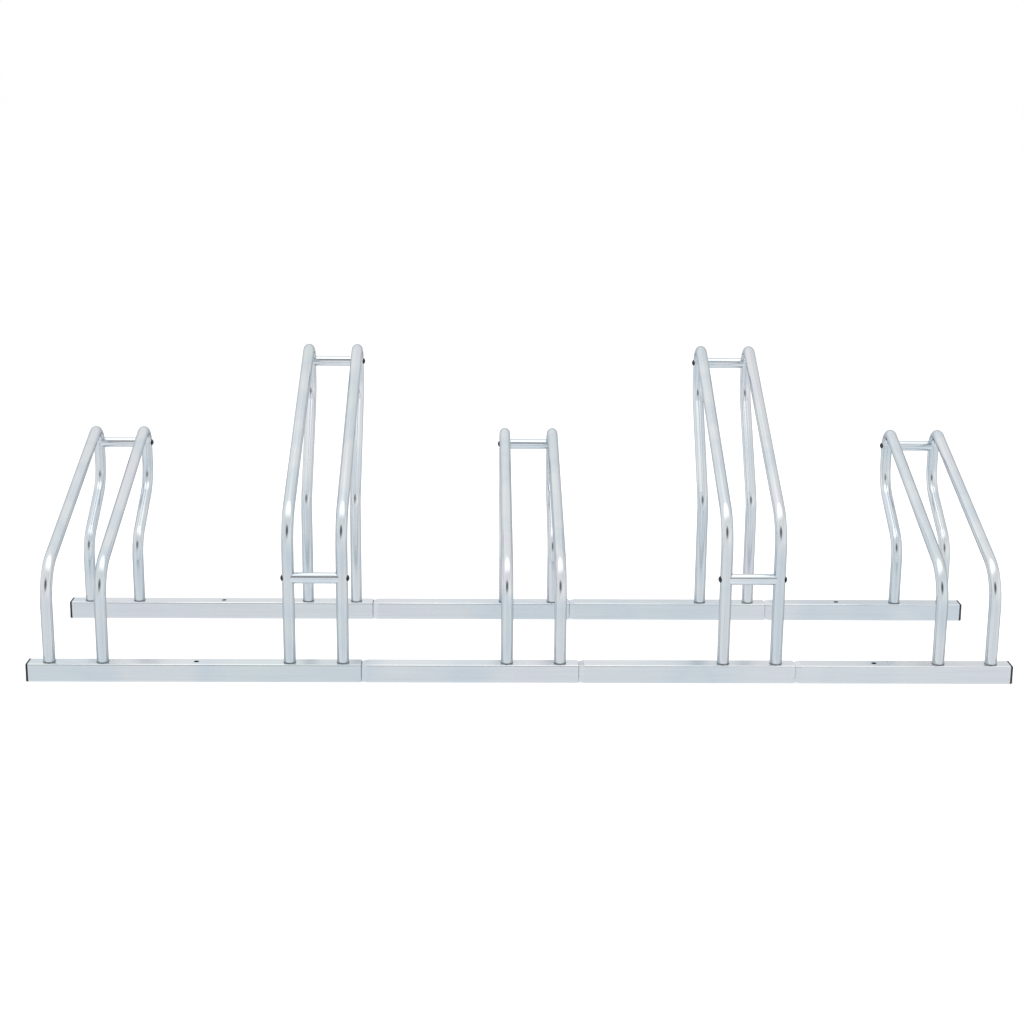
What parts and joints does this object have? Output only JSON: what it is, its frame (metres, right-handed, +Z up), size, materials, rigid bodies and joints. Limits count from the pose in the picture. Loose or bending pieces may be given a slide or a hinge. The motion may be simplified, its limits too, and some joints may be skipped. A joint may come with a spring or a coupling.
{
  "type": "floor bike rack",
  "caption": "Floor bike rack: square rails in plug-together sections carry low and high wheel holders of paired bent round tubes tied by bolted crossbars.",
  "frame": {"origin": "on the floor, under the middle of the rack's overall length and depth", "axes": "+X along the rails towards the end with the last extension, +Y from the front rail, where a wheel rolls in, to the rear, +Z up"},
  "size_m": [1.318, 0.4054, 0.3936],
  "materials": {
    "rail_zinc": "bright zinc plated steel, semi-gloss",
    "tube_zinc": "bright zinc plated steel tube, semi-gloss",
    "cap_plastic": "black moulded plastic, fine matte",
    "bolt_black": "blackened steel, oiled satin",
    "screw_steel": "zinc plated steel screw",
    "plug_steel": "plain turned steel"
  },
  "bodies": {
    "root": {"front_rail_base": "rail_zinc", "front_rail_extension_1": "rail_zinc", "front_rail_extension_2": "rail_zinc", "front_rail_extension_3": "rail_zinc", "front_end_cap_left": "cap_plastic", "front_end_cap_right": "cap_plastic", "rear_rail_base": "rail_zinc", "rear_rail_extension_1": "rail_zinc", "rear_rail_extension_2": "rail_zinc", "rear_rail_extension_3": "rail_zinc", "rear_end_cap_left": "cap_plastic", "rear_end_cap_right": "cap_plastic", "low_holder_1_hoop_left": "tube_zinc", "low_holder_1_hoop_right": "tube_zinc", "low_holder_1_top_crossbar": "tube_zinc", "high_holder_2_hoop_left": "tube_zinc", "high_holder_2_hoop_right": "tube_zinc", "high_holder_2_top_crossbar": "tube_zinc", "high_holder_2_front_crossbar": "tube_zinc", "low_holder_3_hoop_left": "tube_zinc", "low_holder_3_hoop_right": "tube_zinc", "low_holder_3_top_crossbar": "tube_zinc", "high_holder_4_hoop_left": "tube_zinc", "high_holder_4_hoop_right": "tube_zinc", "high_holder_4_top_crossbar": "tube_zinc", "high_holder_4_front_crossbar": "tube_zinc", "low_holder_5_hoop_left": "tube_zinc", "low_holder_5_hoop_right": "tube_zinc", "low_holder_5_top_crossbar": "tube_zinc", "crossbar_bolts": "bolt_black", "crossbar_threaded_plugs": "plug_steel", "foot_screws": "screw_steel", "foot_threaded_plugs": "plug_steel"}
  },
  "joints": []
}
